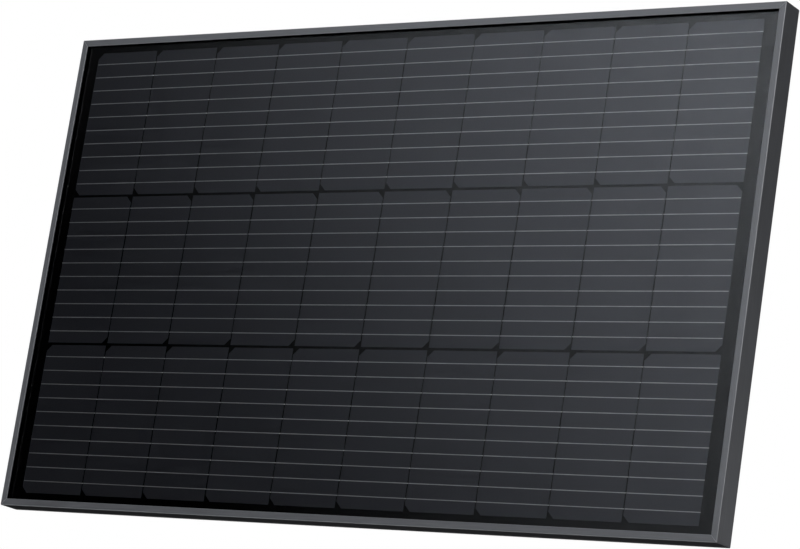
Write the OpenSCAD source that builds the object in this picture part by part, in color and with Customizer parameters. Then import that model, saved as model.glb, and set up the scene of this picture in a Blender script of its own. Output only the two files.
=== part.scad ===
// Framed solar panel with thirty half-cut cells, standing upright on its long edge.
// +X runs along the long edge, +Z along the short edge, and the glass faces -Y.
// The origin is the centre of the mounting slots, on the rear face of the frame.

/* [Panel] */
// Length of the long edge
panel_w = 976; // [970:1:1000]
// Length of the short edge
panel_h = 586; // [580:1:610]
// Depth of the frame from its front lip to its rear flange
frame_d = 30; // [30:1:40]

/* [Frame profile] */
// Width of the front lip over the glass
lip_w = 8; // [7:0.5:9]
// Thickness of the front lip
lip_t = 1.8; // [1.5:0.1:2.2]
// Thickness of the outer wall, shelf and rear flange
wall_t = 1.6; // [1.4:0.1:1.8]
// Width of the hollow chamber that takes the corner keys
chamber_w = 7.8; // [7:0.2:9]
// Width of the rear flange from the outer wall
flange_w = 24; // [22:1:28]
// Radius along the outer front edge
edge_r = 1; // [0.4:0.1:1.4]

/* [Mounting] */
// Distance between the mounting slots along the long edge
slot_spacing = 600; // [400:10:700]
// Distance of every hole in the rear flange from the outer edge
hole_inset = 17.5; // [16.5:0.5:18]
// Width of a mounting slot
slot_w = 7; // [6:0.5:8]
// End-to-end length of a mounting slot
slot_l = 12; // [10:1:16]
// Distance between the grounding holes along the long edge
ground_spacing = 160; // [100:10:240]
// Diameter of a grounding hole
ground_dia = 4.2; // [3.5:0.1:5]

/* [Laminate] */
// Thickness of the front glass
glass_t = 3.2; // [2.8:0.1:3.4]
// Thickness of a cell
cell_t = 0.18; // [0.16:0.01:0.2]
// Width of one half-cut cell
cell_w = 91; // [89:0.5:91]
// Height of one half-cut cell
cell_h = 182; // [180:0.5:182]
// Gap between neighbouring cells in a row
column_gap = 1.5; // [1:0.1:1.6]
// Gap between rows of cells
row_gap = 3; // [2:0.5:3]
// Leg of the two chamfered corners of a cell
cell_chamfer = 7.4; // [5:0.2:9]
// Number of ribbons across a row
ribbon_count = 10; // [5:1:10]
// Distance between ribbons
ribbon_pitch = 17; // [14:0.5:17]
// Width of a ribbon
ribbon_w = 0.9; // [0.5:0.1:1.2]
// Thickness of a ribbon
ribbon_t = 0.22; // [0.15:0.01:0.25]

/* [Junction box] */
// Width of the junction box
box_w = 112; // [110:1:120]
// Height of the junction box
box_h = 78; // [76:1:84]
// Distance from the left end of the panel to the middle of the box
box_from_end = 98; // [96:1:110]
// Height of the base's walls
base_h = 15.6; // [15:0.2:16]
// Thickness of the base's walls
box_wall = 2.4; // [2.2:0.1:2.6]
// Diameter of the cable that the glands take
cable_dia = 6; // [5.6:0.1:6.2]

/* [Hidden] */
$fn = 48;
columns = 10;
row_names = ["top", "middle", "bottom"];
rows = len(row_names);

// Layers of the laminate, from the front lip towards the rear.
seal_t = 0.6;
front_film_t = 0.45;
insulation_t = 0.12;
bus_t = 0.3;
film_cover_t = 0.11;
backsheet_t = 0.3;
rear_seal_t = 0.45;
laminate_inset = 3.2;
channel_y = -frame_d + lip_t;
glass_y = channel_y + seal_t;
front_film_y = glass_y + glass_t;
cell_y = front_film_y + front_film_t;
cell_back_y = cell_y + cell_t;
bus_y = cell_back_y + ribbon_t;
lead_y = bus_y + insulation_t;
backsheet_y = lead_y + bus_t + film_cover_t;
laminate_back_y = backsheet_y + backsheet_t;
shelf_y = laminate_back_y + rear_seal_t;
chamber_y = shelf_y + wall_t;

// Frame.
chamber_end = wall_t + chamber_w;
inner_wall_t = 1.4;
shelf_w = 11;
lip_edge_r = 0.5;
bead_w = 1.2;
bead_h = 2.8;
mitre_gap = 0.05;
drain_from_end = 42;
drain_w = 3.5;
drain_l = 12;
key_leg = 38;
key_play = 0.1;
seal_recess = 0.6;

// Cell field.
pitch_x = cell_w + column_gap;
pitch_z = cell_h + row_gap;
field_w = columns * pitch_x - column_gap;
ribbon_front_start = 0.8;
ribbon_rear_end = 4;
bus_w = 5;
bus_x = field_w / 2 + 6.75;
bus_over = 3.5;
ribbon_reach = (ribbon_count - 1) / 2 * ribbon_pitch;

// Leads from the cell field to the junction box.
box_x = -panel_w / 2 + box_from_end;
terminal_gap = 35;
terminal_x = [for (i = [-1:1]) box_x + i * terminal_gap];
riser_z = 7;
upper_lead_z = pitch_z - ribbon_reach - 7.5;
lower_lead_z = -upper_lead_z;
insulation_w = 9;

// Junction box, from the backsheet towards the rear.
pad_t = 1;
pad_edge = 1;
floor_t = 2;
box_r = 5;
base_y = laminate_back_y + pad_t;
floor_y = base_y + floor_t;
rim_y = base_y + base_h;
seal_groove_w = 1.2;
seal_groove_d = 1;
lid_gap = 0.6;
lid_t = 2;
lid_y = rim_y + lid_gap;
lid_rim_t = 1.4;
lid_rim_h = 2.5;
lid_play = 0.7;
lead_slot = [10, 9];
plate_slot = [7, 2.4];
plate_t = 0.8;
plate_w = 22;
plate_top = floor_y + plate_t;
barrel_r = 2.6;
barrel_bore_r = 1.7;
barrel_l = 9;
diode_r = 2.6;
diode_l = 9;
diode_lead_r = 0.55;
diode_z = 25;

// Hinge and catches of the lid.
knuckle_r = 2.9;
knuckle_l = 6;
ear_x = 33;
knuckle_x = ear_x - knuckle_l - 0.4;
hinge_z = box_h / 2 + knuckle_r + 0.5;
hinge_y = lid_y + lid_t - knuckle_r;
pin_r = 1.25;
press_play = 0.01;
running_play = 0.07;
tongue_x = 12;
tongue_w = 10;
tongue_t = 1.6;
tongue_l = 9;
tongue_gap = 0.8;
catch_h = 0.5;

// Cable glands, on the lower wall of the box.
gland_y = base_y + base_h / 2 - 0.3;
spout_r = 5;
spout_l = 8;
sleeve_r = 3.9;
nut_r = 7.5;
nut_start = box_h / 2 + 0.6;
nut_bore_r = cable_dia / 2 + 0.3;
nut_end_t = 2.9;

label_size = [96, 0.15, 58];
label_x = box_x + 160;

function two_digits(n) = n < 10 ? str("0", n) : str(n);
function cell_name(row, column) = str("cell_", row_names[row], "_", two_digits(column + 1));
function row_z(row) = (1 - row) * pitch_z;
function column_x(column) = (column - (columns - 1) / 2) * pitch_x;

// A box given by its lowest and highest corners.
module span(low, high) {
    translate(low) cube(high - low);
}

// A plate of the laminate, a given distance inside the frame's outer edge.
module layer(y, thickness, inset) {
    span([-panel_w / 2 + inset, y, -panel_h / 2 + inset],
         [panel_w / 2 - inset, y + thickness, panel_h / 2 - inset]);
}

// What is left of a square corner outside its round.
module corner_waste(r) {
    difference() {
        translate([-1, -1]) square(r + 1);
        translate([r, r]) circle(r);
    }
}

// Section of the frame: X is depth, with the front at -frame_d, and Y runs inwards.
module profile() {
    difference() {
        union() {
            translate([-frame_d, 0]) square([frame_d, wall_t]);
            translate([-frame_d, 0]) square([lip_t, lip_w]);
            translate([shelf_y, 0]) square([wall_t, shelf_w]);
            translate([shelf_y, chamber_end]) square([-shelf_y, inner_wall_t]);
            translate([-wall_t, 0]) square([wall_t, flange_w]);
            translate([-bead_h, flange_w - bead_w]) square([bead_h, bead_w]);
        }
        translate([-frame_d, 0]) corner_waste(edge_r);
        translate([-frame_d, lip_w]) mirror([0, 1]) corner_waste(lip_edge_r);
        mirror([1, 0]) corner_waste(lip_edge_r);
    }
}

// A rail along X with mitred ends. Its outer face is at Z = 0 and it grows towards +Z.
module rail(length) {
    reach = flange_w + 1;
    half = length / 2 - mitre_gap;
    difference() {
        rotate([90, 0, 90]) linear_extrude(length, center = true) profile();
        for (side = [0, 1]) mirror([side, 0, 0])
            rotate([90, 0, 0]) translate([0, 0, -1]) linear_extrude(frame_d + 2)
                polygon([[half + 1, -1], [half + 2, -1], [half + 2, reach], [half - reach, reach]]);
    }
}

// A slot through the rear flange, its length along X.
module flange_slot(x, width, length) {
    run = length - width;
    translate([x, 1, hole_inset]) rotate([90, 0, 0]) linear_extrude(wall_t + 2) {
        square([run, width], center = true);
        for (side = [-1, 1]) translate([side * run / 2, 0]) circle(width / 2);
    }
}

module long_rail() {
    translate([0, 0, -panel_h / 2]) difference() {
        rail(panel_w);
        for (side = [-1, 1]) {
            flange_slot(side * slot_spacing / 2, slot_w, slot_l);
            flange_slot(side * (panel_w / 2 - drain_from_end), drain_w, drain_l);
            translate([side * ground_spacing / 2, 1, hole_inset]) rotate([90, 0, 0])
                cylinder(r = ground_dia / 2, h = wall_t + 2);
        }
    }
}

module short_rail() {
    translate([-panel_w / 2, 0, 0]) rotate([0, 90, 0]) rail(panel_h);
}

module frame_rail_bottom() {
    color("#2d2e31") long_rail();
}

module frame_rail_top() {
    color("#2d2e31") mirror([0, 0, 1]) long_rail();
}

module frame_rail_left() {
    color("#2d2e31") short_rail();
}

module frame_rail_right() {
    color("#2d2e31") mirror([1, 0, 0]) short_rail();
}

// One angle key with barbed legs, in the bottom left corner of the frame.
module corner_key() {
    leg_w = chamber_w - 2 * key_play;
    depth = -wall_t - chamber_y - 2 * key_play;
    barb = 0.6;
    barb_pitch = 6;
    translate([-panel_w / 2 + wall_t + key_play, chamber_y + key_play,
               -panel_h / 2 + wall_t + key_play])
        difference() {
            union() {
                cube([key_leg, depth, leg_w]);
                cube([leg_w, depth, key_leg]);
            }
            for (i = [2:5]) {
                translate([i * barb_pitch, -1, leg_w - barb]) cube([1, depth + 2, 1]);
                translate([leg_w - barb, -1, i * barb_pitch]) cube([1, depth + 2, 1]);
            }
        }
}

module corner_keys() {
    color("#9a9c9f")
        for (x = [0, 1]) for (z = [0, 1]) mirror([x, 0, 0]) mirror([0, 0, z]) corner_key();
}

// Sealant that wraps the laminate's edge inside the channel of the frame.
module edge_seal() {
    laminate_t = laminate_back_y - glass_y;
    color("#0c0c0d") difference() {
        layer(channel_y, shelf_y - channel_y, wall_t);
        layer(glass_y, laminate_t, laminate_inset);
        layer(channel_y - 1, seal_t + 2, lip_w - seal_recess);
        layer(laminate_back_y - 1, rear_seal_t + 2, shelf_w - seal_recess);
    }
}

module front_glass() {
    color("#20242a", 0.35) layer(glass_y, glass_t, laminate_inset);
}

// Grooves that the ribbons of the whole field lie in.
module ribbon_grooves(y, thickness, half_length) {
    for (row = [0:rows - 1]) for (i = [0:ribbon_count - 1]) {
        z = row_z(row) - ribbon_reach + i * ribbon_pitch;
        span([-half_length, y, z - ribbon_w / 2], [half_length, y + thickness, z + ribbon_w / 2]);
    }
}

module front_encapsulant() {
    color("#dfe3e6", 0.2) difference() {
        layer(front_film_y, front_film_t, laminate_inset);
        ribbon_grooves(cell_y - ribbon_t, ribbon_t + 1, field_w / 2 + 2);
    }
}

module rear_encapsulant() {
    color("#0e0f11") difference() {
        layer(cell_y, backsheet_y - cell_y, laminate_inset);
        for (row = [0:rows - 1]) for (column = [0:columns - 1])
            translate([0, -1, 0]) cell(row, column, cell_t + 1);
        ribbon_grooves(cell_y - 1, bus_y - cell_y + 1, bus_x + bus_w / 2);
        bus_link_right();
        bus_link_left();
        bus_lead_positive();
        bus_lead_negative();
        lead_insulation();
    }
}

module backsheet() {
    color("#0b0b0c") difference() {
        layer(backsheet_y, backsheet_t, laminate_inset);
        for (x = terminal_x)
            span([x - 3.2, backsheet_y - 1, riser_z - 0.4],
                 [x + 3.2, laminate_back_y + 1, riser_z + bus_t + 0.4]);
    }
}

// Half of a pseudo-square wafer. The rows above and below the middle one have their
// chamfered corners on the left, and the middle row is turned round.
module cell(row, column, thickness = cell_t) {
    x = cell_w / 2;
    z = cell_h / 2;
    c = cell_chamfer;
    turned = row == 1 ? 1 : 0;
    color("#1b1e24")
        translate([column_x(column), cell_y + thickness, row_z(row)])
            rotate([90, 0, 0]) mirror([turned, 0, 0]) linear_extrude(thickness)
                polygon([[c - x, -z], [x, -z], [x, z], [c - x, z], [-x, z - c], [-x, c - z]]);
}

// The ribbons along one line, seen from above: each runs on the front of one cell,
// steps back through the gap and runs on behind the next. The last reach the buses.
module ribbon_line() {
    half_step = ribbon_t / 2;
    for (i = [0:columns]) {
        joint_x = i < columns ? column_x(i) - pitch_x / 2 : field_w / 2 + 1.5;
        front_x = i > 0 ? column_x(i - 1) - cell_w / 2 + ribbon_front_start : -bus_x - bus_w / 2;
        rear_x = i < columns ? column_x(i) + cell_w / 2 - ribbon_rear_end : bus_x + bus_w / 2;
        if (i == 0)
            translate([front_x, cell_back_y]) square([rear_x - front_x, ribbon_t]);
        else
            polygon([[front_x, cell_y - ribbon_t], [joint_x + half_step, cell_y - ribbon_t],
                     [joint_x + half_step, cell_back_y], [rear_x, cell_back_y],
                     [rear_x, bus_y], [joint_x - half_step, bus_y],
                     [joint_x - half_step, cell_y], [front_x, cell_y]]);
    }
}

module ribbons(row) {
    turned = row == 1 ? 1 : 0;
    color("#a9adb3")
        for (i = [0:ribbon_count - 1])
            translate([0, 0, row_z(row) - ribbon_reach + i * ribbon_pitch - ribbon_w / 2])
                mirror([turned, 0, 0]) linear_extrude(ribbon_w) ribbon_line();
}

// A bus along the end of the rows, on the side of X that the sign gives.
module bus(side, low_z, high_z) {
    x = side * bus_x;
    span([x - bus_w / 2, bus_y, low_z], [x + bus_w / 2, bus_y + bus_t, high_z]);
}

// A flat lead behind the cells, widened by half its width all round its middle line.
module lead(low_x, low_z, high_x, high_z) {
    half = bus_w / 2;
    span([low_x - half, lead_y, low_z - half], [high_x + half, lead_y + bus_t, high_z + half]);
}

// The end of a lead: it stands up through the floor of the box and folds onto a plate.
module riser(x) {
    half = bus_w / 2;
    span([x - half, lead_y, riser_z], [x + half, plate_top + bus_t, riser_z + bus_t]);
    span([x - half, plate_top, riser_z], [x + half, plate_top + bus_t, riser_z + 12]);
}

module bus_link_right() {
    color("#17181a") bus(1, -ribbon_reach - bus_over, pitch_z + ribbon_reach + bus_over);
}

module bus_link_left() {
    x = terminal_x[1];
    color("#17181a") {
        bus(-1, -pitch_z - ribbon_reach - bus_over, ribbon_reach + bus_over);
        lead(-bus_x, 0, x, 0);
        lead(x, 0, x, riser_z + bus_t - bus_w / 2);
        riser(x);
    }
}

module bus_lead_positive() {
    x = terminal_x[0];
    color("#17181a") {
        bus(-1, upper_lead_z - bus_w / 2, pitch_z + ribbon_reach + bus_over);
        lead(-bus_x, upper_lead_z, x, upper_lead_z);
        lead(x, riser_z + bus_w / 2, x, upper_lead_z);
        riser(x);
    }
}

module bus_lead_negative() {
    x = terminal_x[2];
    color("#17181a") {
        bus(1, -pitch_z - ribbon_reach - bus_over, lower_lead_z + bus_w / 2);
        lead(x, lower_lead_z, bus_x, lower_lead_z);
        lead(x, lower_lead_z, x, riser_z + bus_t - bus_w / 2);
        riser(x);
    }
}

// A strip of film between a lead and the cells that it crosses.
module film(low_x, low_z, high_x, high_z) {
    half = insulation_w / 2;
    span([low_x - half, bus_y, low_z - half], [high_x + half, lead_y, high_z + half]);
}

module lead_insulation() {
    start_x = bus_x - bus_w / 2 - 0.5 - insulation_w / 2;
    top_z = riser_z - 2.5;
    color("#101012") {
        film(-start_x, upper_lead_z, terminal_x[0], upper_lead_z);
        film(terminal_x[0], top_z + insulation_w, terminal_x[0], upper_lead_z);
        film(-start_x, 0, terminal_x[1], 0);
        film(terminal_x[1], 0, terminal_x[1], top_z);
        film(terminal_x[2], lower_lead_z, start_x, lower_lead_z);
        film(terminal_x[2], lower_lead_z, terminal_x[2], top_z);
    }
}

// A rectangle with round corners, centred on the origin.
module rounded(w, h, r) {
    square([w - 2 * r, h], center = true);
    square([w, h - 2 * r], center = true);
    for (x = [-1, 1]) for (z = [-1, 1])
        translate([x * (w / 2 - r), z * (h / 2 - r)]) circle(r);
}

// A slab of the box's outline, made smaller all round by the inset.
module box_slab(y, thickness, inset) {
    translate([box_x, y + thickness, 0]) rotate([90, 0, 0])
        linear_extrude(thickness) rounded(box_w - 2 * inset, box_h - 2 * inset, box_r - inset);
}

// Openings that the three leads come through, each size[0] wide and size[1] high.
module lead_slots(y, thickness, size = lead_slot) {
    for (x = terminal_x)
        span([x - size[0] / 2, y, riser_z - size[1] / 2],
             [x + size[0] / 2, y + thickness, riser_z + size[1] / 2]);
}

module junction_box_pad() {
    color("#1c1c1c") difference() {
        box_slab(laminate_back_y, pad_t, -pad_edge);
        lead_slots(laminate_back_y - 1, pad_t + 2);
    }
}

// A cylinder along Z that starts at z and goes down.
module down(x, z, r, length, r_end = 0) {
    translate([x, gland_y, z - length])
        cylinder(r1 = r_end > 0 ? r_end : r, r2 = r, h = length);
}

// A cylinder along the hinge's axis, with its middle at x.
module hinge_cylinder(x, r, length) {
    translate([box_x + x - length / 2, hinge_y, hinge_z]) rotate([0, 90, 0])
        cylinder(r = r, h = length);
}

module junction_box_base() {
    groove_inset = (box_wall - seal_groove_w) / 2;
    color("#161617") difference() {
        union() {
            box_slab(base_y, base_h, 0);
            for (side = [-1, 1]) {
                down(box_x + side * terminal_gap, 1 - box_h / 2, spout_r, spout_l + 1);
                hinge_cylinder(side * ear_x, knuckle_r, knuckle_l);
                translate([box_x + side * ear_x - knuckle_l / 2, hinge_y - knuckle_r, box_h / 2 - 1])
                    cube([knuckle_l, knuckle_r, hinge_z - box_h / 2 + 1]);
                translate([box_x + side * tongue_x - 2.5, lid_y - 5.5, -box_h / 2 - catch_h])
                    cube([5, 1.6, catch_h + 1]);
            }
        }
        box_slab(floor_y, base_h, box_wall);
        difference() {
            box_slab(rim_y - seal_groove_d, seal_groove_d + 1, groove_inset);
            box_slab(rim_y - seal_groove_d - 1, seal_groove_d + 3, groove_inset + seal_groove_w);
        }
        lead_slots(base_y - 1, floor_t + 2);
        for (side = [-1, 1]) {
            down(box_x + side * terminal_gap, box_wall + 1 - box_h / 2, sleeve_r, 20);
            hinge_cylinder(side * ear_x, pin_r + press_play, knuckle_l + 2);
        }
    }
}

module junction_box_lid() {
    top_gap = 0.6;
    rim_inset = box_wall + lid_play;
    tongue_z = -box_h / 2 - tongue_gap - tongue_t;
    color("#161617") difference() {
        union() {
            difference() {
                box_slab(lid_y, lid_t, 0);
                translate([box_x - box_w / 2 - 1, lid_y - 1, box_h / 2 - top_gap])
                    cube([box_w + 2, lid_t + 2, 2]);
            }
            difference() {
                box_slab(lid_y - lid_rim_h, lid_rim_h + 1, rim_inset);
                box_slab(lid_y - lid_rim_h - 1, lid_rim_h + 1, rim_inset + lid_rim_t);
            }
            for (side = [-1, 1]) {
                hinge_cylinder(side * knuckle_x, knuckle_r, knuckle_l);
                translate([box_x + side * knuckle_x - knuckle_l / 2, lid_y, box_h / 2 - 2])
                    cube([knuckle_l, lid_t, hinge_z - box_h / 2 + 2]);
                translate([box_x + side * tongue_x - tongue_w / 2, lid_y, tongue_z])
                    cube([tongue_w, lid_t, 5]);
                translate([box_x + side * tongue_x - tongue_w / 2, lid_y + lid_t - tongue_l, tongue_z])
                    cube([tongue_w, tongue_l, tongue_t]);
            }
        }
        for (side = [-1, 1]) {
            hinge_cylinder(side * knuckle_x, pin_r + running_play, knuckle_l + 2);
            translate([box_x + side * tongue_x - 3.2, lid_y - 5.8, tongue_z - 1])
                cube([6.4, 2.2, tongue_t + 2]);
        }
    }
}

module hinge_pin() {
    color("#8d9094") hinge_cylinder(0, pin_r, 2 * ear_x + knuckle_l + 1);
}

// Gasket that stands in the groove of the base and stops short of the lid.
module lid_seal() {
    play = 0.05;
    inset = (box_wall - seal_groove_w) / 2 + play;
    color("#0a0a0a") difference() {
        box_slab(rim_y - seal_groove_d, seal_groove_d + 0.2, inset);
        box_slab(rim_y - seal_groove_d - 1, seal_groove_d + 3, inset + seal_groove_w - 2 * play);
    }
}

// A terminal plate; the outer two carry a barrel for the cable's conductor.
module terminal_plate(x, has_barrel) {
    low_z = 5 - box_h / 2 + box_wall;
    difference() {
        union() {
            span([x - plate_w / 2, floor_y, low_z], [x + plate_w / 2, plate_top, box_h / 2 - 8]);
            if (has_barrel) {
                span([x - 2, plate_top - 0.2, low_z], [x + 2, gland_y - 2, low_z + barrel_l]);
                down(x, low_z + barrel_l, barrel_r, barrel_l);
            }
        }
        lead_slots(floor_y - 1, plate_t + 2, plate_slot);
        down(x, low_z + barrel_l + 1, barrel_bore_r, barrel_l + 2);
    }
}

module terminal_plates() {
    color("#b9bcbf") for (i = [0:2]) terminal_plate(terminal_x[i], i != 1);
}

// An axial diode lying between two plates, soldered at both ends.
module diode(x) {
    y = floor_y + diode_r + 0.02;
    wire_l = terminal_gap - plate_w + 10;
    translate([x, y, diode_z]) rotate([0, 90, 0]) {
        cylinder(r = diode_r, h = diode_l, center = true);
        cylinder(r = diode_lead_r, h = wire_l, center = true);
    }
    for (side = [-1, 1])
        span([x + side * (wire_l / 2 - 2) - 2, plate_top, diode_z - 1.2],
             [x + side * (wire_l / 2 - 2) + 2, y - 0.2, diode_z + 1.2]);
}

module bypass_diodes() {
    color("#26262a") for (side = [-1, 1]) diode(box_x + side * terminal_gap / 2);
}

// A gland nut over its spout. The thread is left smooth.
module cable_gland(x) {
    length = spout_l + nut_end_t;
    difference() {
        union() {
            translate([x, gland_y, -nut_start - length + 2.5]) rotate([0, 0, 30])
                cylinder(r = nut_r, h = length - 2.5, $fn = 6);
            down(x, -nut_start - length + 3, 6.4, 3, 5.4);
        }
        down(x, 1 - nut_start, spout_r + 0.1, spout_l + 1);
        down(x, 0, nut_bore_r, 60);
    }
}

module cable_gland_positive() {
    color("#161617") cable_gland(terminal_x[0]);
}

module cable_gland_negative() {
    color("#161617") cable_gland(terminal_x[2]);
}

module gland_seals() {
    color("#0a0a0a") for (i = [0, 2]) difference() {
        down(terminal_x[i], -box_h / 2, sleeve_r - 0.05, spout_l - 0.2);
        down(terminal_x[i], 1 - box_h / 2, cable_dia / 2, spout_l + 2);
    }
}

module rating_label() {
    color("#c9cbcd") translate([label_x - label_size[0] / 2, laminate_back_y, -label_size[2] / 2])
        cube(label_size);
}

for (row = [0:rows - 1]) for (column = [0:columns - 1])
    cell(row, column);
for (row = [0:rows - 1])
    ribbons(row);
frame_rail_top();
frame_rail_bottom();
frame_rail_left();
frame_rail_right();
corner_keys();
edge_seal();
front_glass();
front_encapsulant();
rear_encapsulant();
backsheet();
bus_link_right();
bus_link_left();
bus_lead_positive();
bus_lead_negative();
lead_insulation();
junction_box_pad();
junction_box_base();
junction_box_lid();
lid_seal();
hinge_pin();
terminal_plates();
bypass_diodes();
cable_gland_positive();
cable_gland_negative();
gland_seals();
rating_label();
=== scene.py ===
"""Looks of the framed solar panel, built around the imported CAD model.

Everything is in metres in the model's own frame: X runs along the long edge, Z along the
short edge, the glass faces -Y, and the origin is on the rear face of the frame."""

import math

import bmesh
import bpy
from mathutils import Matrix, Vector, geometry, noise


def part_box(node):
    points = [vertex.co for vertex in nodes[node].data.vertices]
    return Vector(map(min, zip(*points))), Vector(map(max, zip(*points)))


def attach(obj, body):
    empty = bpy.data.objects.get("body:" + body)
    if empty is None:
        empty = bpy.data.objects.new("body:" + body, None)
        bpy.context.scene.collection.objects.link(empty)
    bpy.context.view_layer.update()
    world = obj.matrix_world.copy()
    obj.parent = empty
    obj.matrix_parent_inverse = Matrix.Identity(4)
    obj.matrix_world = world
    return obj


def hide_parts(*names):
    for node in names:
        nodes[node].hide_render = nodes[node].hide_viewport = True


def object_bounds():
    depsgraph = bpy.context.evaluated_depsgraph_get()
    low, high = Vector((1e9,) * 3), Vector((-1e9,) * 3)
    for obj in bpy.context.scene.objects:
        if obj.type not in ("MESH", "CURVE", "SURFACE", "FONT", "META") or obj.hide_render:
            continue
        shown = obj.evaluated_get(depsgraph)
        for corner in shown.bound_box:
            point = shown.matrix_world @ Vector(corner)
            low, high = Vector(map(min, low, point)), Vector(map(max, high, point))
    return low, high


MM = 0.001
PANEL = "panel"
LID = "lid"
ROWS = ("top", "middle", "bottom")
COLUMNS = 10
LAYER_GAP = 0.02 * MM
SAME_POINT = 1e-7
SHARP_LIMIT = 0.3

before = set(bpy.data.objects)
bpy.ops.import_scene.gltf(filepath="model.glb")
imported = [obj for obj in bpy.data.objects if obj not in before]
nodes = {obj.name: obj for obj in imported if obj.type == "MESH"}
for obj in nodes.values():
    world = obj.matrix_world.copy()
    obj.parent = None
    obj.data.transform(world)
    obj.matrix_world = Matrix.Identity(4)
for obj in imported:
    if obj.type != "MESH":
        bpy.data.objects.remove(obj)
cad_low, cad_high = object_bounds()
left, front, bottom = cad_low
right, rear, top = cad_high


# ---------------- mesh helpers


def piece(name, vertices, faces, material, slot, body=PANEL, replaces=(), crease=32):
    """A new mesh object that rides on a body, smooth but for edges sharper than the crease, in degrees."""
    mesh = bpy.data.meshes.new(name)
    mesh.from_pydata([tuple(v) for v in vertices], [], faces)
    return finished(mesh, name, material, body, replaces, crease)


def finished(mesh, name, material, body=PANEL, replaces=(), crease=32):
    """Wraps a mesh in an object: clean normals, creases, material, body and material slot."""
    work = bmesh.new()
    work.from_mesh(mesh)
    bmesh.ops.remove_doubles(work, verts=work.verts, dist=SAME_POINT)
    bmesh.ops.recalc_face_normals(work, faces=work.faces)
    work.to_mesh(mesh)
    work.free()
    mesh.shade_smooth()
    mesh.set_sharp_from_angle(angle=math.radians(crease))
    made = bpy.data.objects.new(name, mesh)
    bpy.context.scene.collection.objects.link(made)
    mesh.materials.clear()
    mesh.materials.append(material)
    if replaces:
        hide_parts(*replaces)
    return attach(made, body)


def arc(centre, radius, start, end, steps):
    """Points along an arc in a plane, from one angle to another, in degrees."""
    turn = [math.radians(start + (end - start) * i / steps) for i in range(steps + 1)]
    return [(centre[0] + radius * math.cos(a), centre[1] + radius * math.sin(a)) for a in turn]


def offset_loop(loop, distance):
    """A closed outline moved inwards by a distance, its corners kept and the sharp ones held back."""
    area = sum(a[0] * b[1] - b[0] * a[1] for a, b in zip(loop, loop[1:] + loop[:1]))
    side = 1 if area > 0 else -1
    moved = []
    for before, here, after in zip(loop[-1:] + loop[:-1], loop, loop[1:] + loop[:1]):
        one = (Vector(here) - Vector(before)).normalized()
        two = (Vector(after) - Vector(here)).normalized()
        inward = Vector((-one.y - two.y, one.x + two.x)).normalized() * side
        reach = distance / max(SHARP_LIMIT, inward.dot(Vector((-one.y, one.x)) * side))
        moved.append((here[0] + inward.x * reach, here[1] + inward.y * reach))
    return moved


def strip_faces(rings, count, closed_rings=False):
    """Quads between neighbouring rings of count points each."""
    faces = []
    pairs = rings if closed_rings else rings - 1
    for r in range(pairs):
        for i in range(count):
            here, after = r * count, ((r + 1) % rings) * count
            j = (i + 1) % count
            faces.append((here + i, here + j, after + j, after + i))
    return faces


def capped_loft(rings):
    """Vertices and faces of a closed solid through rings of equal length."""
    count = len(rings[0])
    vertices = [p for ring in rings for p in ring]
    faces = strip_faces(len(rings), count)
    faces.append(tuple(range(count)))
    last = (len(rings) - 1) * count
    faces.append(tuple(range(last, last + count)))
    return vertices, faces


def combine(target, others, operation):
    """Adds the other meshes to the target's mesh, or takes them out of it, and removes them."""
    for other in others:
        step = target.modifiers.new("combine", "BOOLEAN")
        step.operation = operation
        step.solver = "EXACT"
        step.object = other
    depsgraph = bpy.context.evaluated_depsgraph_get()
    mesh = bpy.data.meshes.new_from_object(target.evaluated_get(depsgraph))
    target.modifiers.clear()
    old = target.data
    target.data = mesh
    bpy.data.meshes.remove(old)
    for other in others:
        bpy.data.objects.remove(other)


def cut(target, cutters):
    combine(target, cutters, "DIFFERENCE")


def plain_object(name, vertices, faces):
    """A helper mesh, such as a cutter, that isn't part of the object."""
    mesh = bpy.data.meshes.new(name)
    mesh.from_pydata([tuple(v) for v in vertices], [], faces)
    work = bmesh.new()
    work.from_mesh(mesh)
    bmesh.ops.recalc_face_normals(work, faces=work.faces)
    work.to_mesh(mesh)
    work.free()
    made = bpy.data.objects.new(name, mesh)
    bpy.context.scene.collection.objects.link(made)
    return made


# ---------------- material helpers

EVEN = (1, 1, 1)
NOISE_DETAIL = 3
NOISE_RANGE = (0.3, 0.7)
FACING_STRAIGHT = 0.98
FACING_BETWEEN = 0.86
GRAZING_START = 0.07
GRAZING_SHARE = 0.9


class NodeTree:
    """A node tree: add() makes a node with its values set, link() joins two sockets."""

    def __init__(self, tree, output):
        self.tree = tree
        self.tree.nodes.clear()
        self.output = self.add(output)

    def add(self, kind, inputs=None, **settings):
        node = self.tree.nodes.new(kind)
        for key, value in settings.items():
            setattr(node, key, value)
        for key, value in (inputs or {}).items():
            node.inputs[key].default_value = value
        return node

    def link(self, source, target):
        self.tree.links.new(source, target)

    def axes(self, vector):
        """The X, Y and Z of a vector."""
        split = self.add("ShaderNodeSeparateXYZ")
        self.link(vector, split.inputs[0])
        return split.outputs

    def calculated(self, operation, *values):
        """The result of a Math node, whose values are sockets or numbers."""
        node = self.add("ShaderNodeMath", operation=operation)
        for socket, value in zip(node.inputs, values):
            if isinstance(value, bpy.types.NodeSocket):
                self.link(value, socket)
            else:
                socket.default_value = value
        return node.outputs[0]

    def mixed(self, share, one, other):
        """One shader, with a share of the other mixed in."""
        mix = self.add("ShaderNodeMixShader")
        for source, socket in zip((share, one.outputs[0], other.outputs[0]), mix.inputs):
            self.link(source, socket)
        return mix

    def surface(self, node):
        self.link(node.outputs[0], self.output.inputs["Surface"])


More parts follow.
